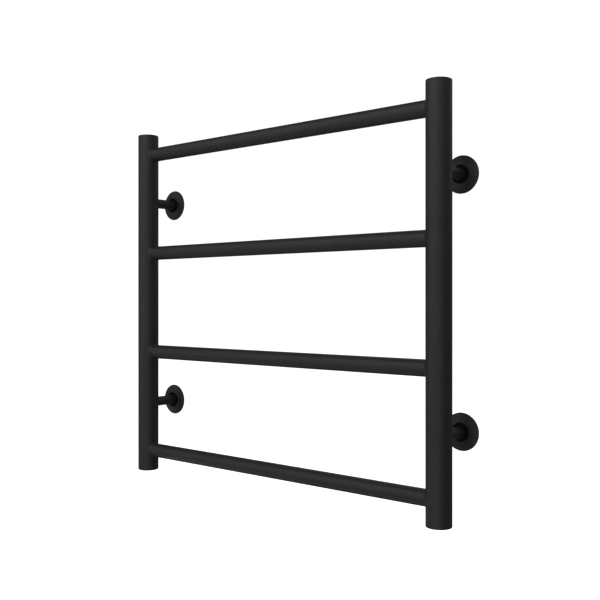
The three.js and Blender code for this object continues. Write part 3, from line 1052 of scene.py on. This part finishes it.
block_low, block_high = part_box("terminal_block")
block_middle = (block_low + block_high) / 2
block = box_of("terminal_block_body", block_low, block_high, MOULD_EDGE)
tools = []
for x in POLES:
    for way, face in ((UP, block_high.z), (-UP, block_low.z)):
        mouth = Vector((wiring.x + x, block_middle.y, face)) + way * PAST
        tools.append(drill(mouth, -way, WIRE_ENTRY, WIRE_ENTRY_DEPTH + PAST, SMALL_HOLE_ROUND))
    for z in SCREW_PLACES:
        well = Vector((wiring.x + x, block_low.y, block_middle.z + z)) + FROM_WALL * PAST
        tools.append(drill(well, INTO_WALL, SCREW_WELL, SCREW_WELL_DEPTH + PAST, SMALL_HOLE_ROUND))
for x in POLE_GROOVES:
    left, right = wiring.x + x - POLE_GROOVE_HALF, wiring.x + x + POLE_GROOVE_HALF
    groove_low = Vector((left, block_low.y - PAST, block_low.z - PAST))
    groove_high = Vector((right, block_low.y + POLE_GROOVE_DEPTH, block_high.z + PAST))
    tools.append(box_of("groove", groove_low, groove_high, 0))
cut(block, *tools)
block.data.materials.append(white_plastic)
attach(block, "rack")
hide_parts("terminal_block")

screw_outline = [
    (SCREW_SHANK, -SCREW_SHANK_LENGTH),
    (SCREW_SHANK, 0.0),
    (SCREW_HEAD, 0.0),
    (SCREW_HEAD, SCREW_SIDE),
]
screw_outline += corner(SCREW_HEAD - SCREW_EDGE, SCREW_EDGE_RISE, SCREW_EDGE, 0, 90, 3)
slot_low = Vector((-SLOT_REACH, -SLOT_TOP, -SLOT_HALF))
slot_high = Vector((SLOT_REACH, -SLOT_FLOOR, SLOT_HALF))

for pole, x in zip(("live", "neutral", "earth"), POLES):
    for place, z in zip(("lower", "upper"), SCREW_PLACES):
        seat = Vector((wiring.x + x, block_low.y + SCREW_WELL_DEPTH, block_middle.z + z))
        name = f"{pole}_{place}_clamp_screw"
        screw = turned(name, screw_outline, seat, FROM_WALL, SCREW_HEAD_ROUND, loop=False)
        cut(screw, box_of("slot", seat + slot_low, seat + slot_high, 0))
        screw.data.materials.append(zinc)
        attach(screw, "rack")
        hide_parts("terminal_block")


# ---- Thermal cut-out ----
# A small overheat switch in a flat white case between the block and the back of the post. Its two
# wires leave through resin-filled mouths in the top, and its lid is a shallow panel.

CASE_EDGE = 0.5 * MM
CASE_WIRES = (-2.0 * MM, 2.0 * MM)
CASE_DRILL_LENGTH = 1.8 * MM
PANEL_DEPTH = 0.3 * MM
PANEL_MARGIN = 1.2 * MM
PANEL_TOP_MARGIN = 2.4 * MM

case_low, case_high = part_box("thermal_cutout")
case_middle = (case_low + case_high) / 2
case = box_of("thermal_cutout_case", case_low, case_high, CASE_EDGE)
tools = []
for x in CASE_WIRES:
    mouth = Vector((wiring.x + x, case_middle.y, case_high.z + PAST))
    tools.append(drill(mouth, -UP, WIRE_ENTRY, CASE_DRILL_LENGTH, SMALL_HOLE_ROUND))
panel_low = case_low + Vector((PANEL_MARGIN, 0, PANEL_MARGIN))
panel_low.y = case_high.y - PANEL_DEPTH
panel_high = case_high + Vector((-PANEL_MARGIN, PAST, -PANEL_TOP_MARGIN))
tools.append(box_of("panel", panel_low, panel_high, 0))
cut(case, *tools)
case.data.materials.append(white_plastic)
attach(case, "rack")
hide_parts("thermal_cutout")


# ---- Wires ----
# Four stranded wires in plastic insulation: brown from the block to the cut-out and on to the splice,
# blue straight to the splice, and the striped earth wire down the post to the lug on the bottom cap.

WIRE_ROUND = 16
WIRE_STEPS = 8
WIRE_TUCK = 1.2 * MM
LOOP_RISE = 7.0 * MM
SPLICE_WIRE_PLACE = 1.75 * MM
EARTH_LEAVES = 0.3 * MM
EARTH_RUN_PLACE = 10.8 * MM
EARTH_BEND = 2.0 * MM
EARTH_IN_LUG = 5.0 * MM
STRIPE = (0, 1, 2, 8, 9, 10)  # the faces round the wire that are yellow


def flowing(points, steps):
    """A smooth line through points, evenly tense however far apart they are."""
    points = [points[0] * 2 - points[1], *points, points[-1] * 2 - points[-2]]
    line = []
    for a, b, c, d in zip(points, points[1:], points[2:], points[3:]):
        before, span, after = (math.sqrt((q - p).length) for p, q in ((a, b), (b, c), (c, d)))
        leave = ((b - a) / before - (c - a) / (before + span) + (c - b) / span) * span
        arrive = ((c - b) / span - (d - b) / (span + after) + (d - c) / after) * span
        for i in range(steps):
            t = i / steps
            line.append(
                b * (2 * t**3 - 3 * t**2 + 1)
                + leave * (t**3 - 2 * t**2 + t)
                + c * (3 * t**2 - 2 * t**3)
                + arrive * (t**3 - t**2)
            )
    return line + [points[-2]]


def insulation(name, first, second):
    """Extruded plastic insulation: satin, with faint draw marks."""
    skin = Finish(name, 0.4)
    drift = skin.noise(4 * MM, 3)
    marks = skin.noise(0.3 * MM, 2)
    skin.colours(drift, first, second)
    skin.between(marks, 0.34, 0.48, skin.shader.inputs["Roughness"])
    skin.relief((marks, 0.01 * MM))
    return skin.material


brown = insulation("brown_insulation", (0.1, 0.036, 0.014), (0.125, 0.046, 0.019))
blue = insulation("blue_insulation", (0.013, 0.07, 0.3), (0.018, 0.09, 0.35))
green = insulation("green_insulation", (0.02, 0.2, 0.03), (0.03, 0.24, 0.04))
yellow = insulation("yellow_stripe", (0.68, 0.52, 0.02), (0.75, 0.6, 0.03))


def looped(start, end):
    """The line of a wire that leaves one upright face, loops over and comes down on another."""
    crown = (start + end) / 2
    crown.z = max(start.z, end.z) + LOOP_RISE
    tuck = UP * WIRE_TUCK
    rise = UP * (LOOP_RISE / 2)
    line = [start - tuck, start, start + rise, crown, end + rise, end, end - tuck]
    return flowing(line, WIRE_STEPS)


live_pole, neutral_pole, earth_pole = (
    Vector((wiring.x + x, block_middle.y, block_high.z)) for x in POLES
)
case_in, case_out = (Vector((wiring.x + x, case_middle.y, case_high.z)) for x in CASE_WIRES)
splice_top = Vector(((splice_low.x + splice_high.x) / 2, post_plane, splice_high.z))
beside = INTO_WALL * SPLICE_WIRE_PLACE

# The earth wire loops over to the front of the post, runs down it and turns in to the lug.
lug_low, lug_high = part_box("earth_lug")
lug_axis = Vector((wiring.x, post_plane, (lug_low.z + lug_high.z) / 2))
run_plane = FROM_WALL * EARTH_RUN_PLACE
run_top = Vector((wiring.x, post_plane, block_high.z)) + run_plane
run_foot = lug_axis + run_plane
half_rise = UP * (LOOP_RISE / 2)
earth_line = [
    earth_pole - UP * WIRE_TUCK,
    earth_pole + UP * EARTH_LEAVES,
    earth_pole + half_rise,
    (earth_pole + run_top) / 2 + UP * LOOP_RISE,
    run_top + half_rise,
    wiring + run_plane,
    wiring.lerp(lug_axis, 0.5) + run_plane,
    run_foot + UP * (2 * EARTH_BEND),
    run_foot + UP * EARTH_BEND,
    run_foot + INTO_WALL * EARTH_BEND,
    run_foot + INTO_WALL * EARTH_IN_LUG,
]
lines = {
    "live_link": looped(live_pole, case_in),
    "live_tail": looped(case_out, splice_top + beside),
    "neutral_tail": looped(neutral_pole, splice_top - beside),
    "earth_wire": flowing(earth_line, WIRE_STEPS),
}
skins = {"live_link": brown, "live_tail": brown, "neutral_tail": blue, "earth_wire": green}
for node, line in lines.items():
    wire = rod(f"{node}_insulated", line, WIRE_RADIUS, WIRE_ROUND)
    wire.data.materials.append(skins[node])
    if skins[node] is green:
        wire.data.materials.append(yellow)
        for face in wire.data.polygons:
            if len(face.vertices) == 4 and face.index % WIRE_ROUND in STRIPE:
                face.material_index = 1
    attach(wire, "rack")
    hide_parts(node)


# ---- Earth point ----
# A brass stud on the bottom cap of the right post, a crimped ring lug on it and a zinc-plated nut that
# clamps the lug down.

STUD_RADIUS = 2.0 * MM
STUD_PITCH = 0.7 * MM
STUD_CHAMFER = 0.4 * MM
LUG_THICKNESS = 0.8 * MM
LUG_RADIUS = 4.0 * MM
LUG_HOLE = 2.3 * MM
LUG_BREAK = 0.1 * MM
LUG_EDGE = 0.2 * MM
LUG_ROUND = 48
NECK_INSET = 0.3 * MM
NECK_OVERLAP = 0.5 * MM
NECK_SKIN = 0.05 * MM
BARREL_WIDTH = 3.4 * MM
BARREL_GAP = 0.34 * MM
BARREL_EDGE = 0.5 * MM
LUG_WIRE_ROOM = 0.03 * MM
LUG_DRILL_LENGTH = 3.2 * MM
CRIMP_MARK = 0.6 * MM
CRIMP_MARK_DEPTH = 0.3 * MM
NUT_FLATS = 7.0 * MM
NUT_HEIGHT = 3.2 * MM
NUT_FACE = 3.4 * MM
NUT_CHAMFER = 0.3 * MM
NUT_CLEARANCE = 0.06 * MM
NUT_TURNED_DOWN = math.radians(30)
NUT_SMOOTH = 24


def bright_brass():
    """Drawn brass with a light tarnish."""
    metal = Finish("bright_brass", 0.3, 1.0)
    tarnish = metal.noise(2.5 * MM, 5)
    grain = metal.noise(0.15 * MM, 2)
    metal.colours(tarnish, (0.58, 0.38, 0.14), (0.76, 0.55, 0.24))
    metal.between(tarnish, 0.42, 0.24, metal.shader.inputs["Roughness"])
    metal.relief((grain, 0.008 * MM))
    return metal.material


brass = bright_brass()

stud_low, stud_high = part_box("earth_stud")
stud_foot = Vector((wiring.x, post_plane, stud_low.z))
stud_length = stud_high.z - stud_low.z
stud_thread = (STUD_RADIUS, stud_length, STUD_PITCH, THREAD_DEPTH, STUD_CHAMFER)
stud = skinned("earth_stud_thread", thread_rings(stud_foot, UP, *stud_thread), False)
stud.data.materials.append(brass)
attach(stud, "rack")
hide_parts("earth_stud")

lug_centre = Vector((wiring.x, post_plane, lug_low.z))
palm_outline = [
    (LUG_HOLE, LUG_BREAK),
    (LUG_HOLE + LUG_BREAK, 0),
    (LUG_RADIUS - LUG_BREAK, 0),
    (LUG_RADIUS, LUG_BREAK),
]
palm_outline += corner(LUG_RADIUS - LUG_EDGE, LUG_THICKNESS - LUG_EDGE, LUG_EDGE, 0, 90, 3)
palm_outline += [(LUG_HOLE + LUG_BREAK, LUG_THICKNESS), (LUG_HOLE, LUG_THICKNESS - LUG_BREAK)]
palm = turned("earth_lug_palm", palm_outline, lug_centre, UP, LUG_ROUND)

barrel_inner = post_plane - LUG_RADIUS - BARREL_GAP
barrel_low = Vector((wiring.x - BARREL_WIDTH / 2, lug_low.y, lug_low.z))
barrel_high = Vector((wiring.x + BARREL_WIDTH / 2, barrel_inner, lug_high.z))
neck_half = BARREL_WIDTH / 2 - NECK_INSET
neck_inner = post_plane - LUG_HOLE - NECK_OVERLAP
neck_top = lug_low.z + LUG_THICKNESS - NECK_SKIN
neck_low = Vector((wiring.x - neck_half, barrel_high.y - NECK_OVERLAP, lug_low.z + NECK_SKIN))
neck_high = Vector((wiring.x + neck_half, neck_inner, neck_top))
neck = box_of("earth_lug_neck", neck_low, neck_high, LUG_BREAK)
barrel = box_of("earth_lug_barrel", barrel_low, barrel_high, BARREL_EDGE)

wire_mouth = Vector((lug_axis.x, barrel_low.y - PAST, lug_axis.z))
wire_room = WIRE_RADIUS + LUG_WIRE_ROOM
wire_way = drill(wire_mouth, INTO_WALL, wire_room, LUG_DRILL_LENGTH, SMALL_HOLE_ROUND)
crimp_floor = (barrel_low + barrel_high) / 2
crimp_floor.z = lug_high.z - CRIMP_MARK_DEPTH
cut(barrel, wire_way, drill(crimp_floor, UP, CRIMP_MARK, PAST, SMALL_HOLE_ROUND))
for lug in (palm, neck, barrel):
    lug.data.materials.append(brass)
    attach(lug, "rack")
    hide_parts("earth_lug")

nut_foot = Vector((wiring.x, post_plane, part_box("earth_nut")[0].z))
nut_bore = STUD_RADIUS + NUT_CLEARANCE


def nut_end(height, way):
    """A nut's end: the ring of its round face, and the scallops where its flats are turned down."""
    centre = nut_foot + UP * height
    scallops = []
    for point in hexagon(centre, UP, NUT_FLATS):
        past_face = (point - centre).length - NUT_FACE
        scallops.append(point - UP * (way * past_face * math.tan(NUT_TURNED_DOWN)))
    return [ring(centre, UP, NUT_FACE, SCREW_ROUND), scallops]


nut_rings = nut_end(0, -1) + nut_end(NUT_HEIGHT, 1)[::-1]
nut_rings += [
    ring(nut_foot + UP * NUT_HEIGHT, UP, nut_bore + NUT_CHAMFER, SCREW_ROUND),
    ring(nut_foot + UP * (NUT_HEIGHT - NUT_CHAMFER), UP, nut_bore, SCREW_ROUND),
    ring(nut_foot + UP * NUT_CHAMFER, UP, nut_bore, SCREW_ROUND),
    ring(nut_foot, UP, nut_bore + NUT_CHAMFER, SCREW_ROUND),
]
nut = skinned("earth_clamp_nut", nut_rings, True, NUT_SMOOTH)
nut.data.materials.append(zinc)
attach(nut, "rack")
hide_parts("earth_nut")
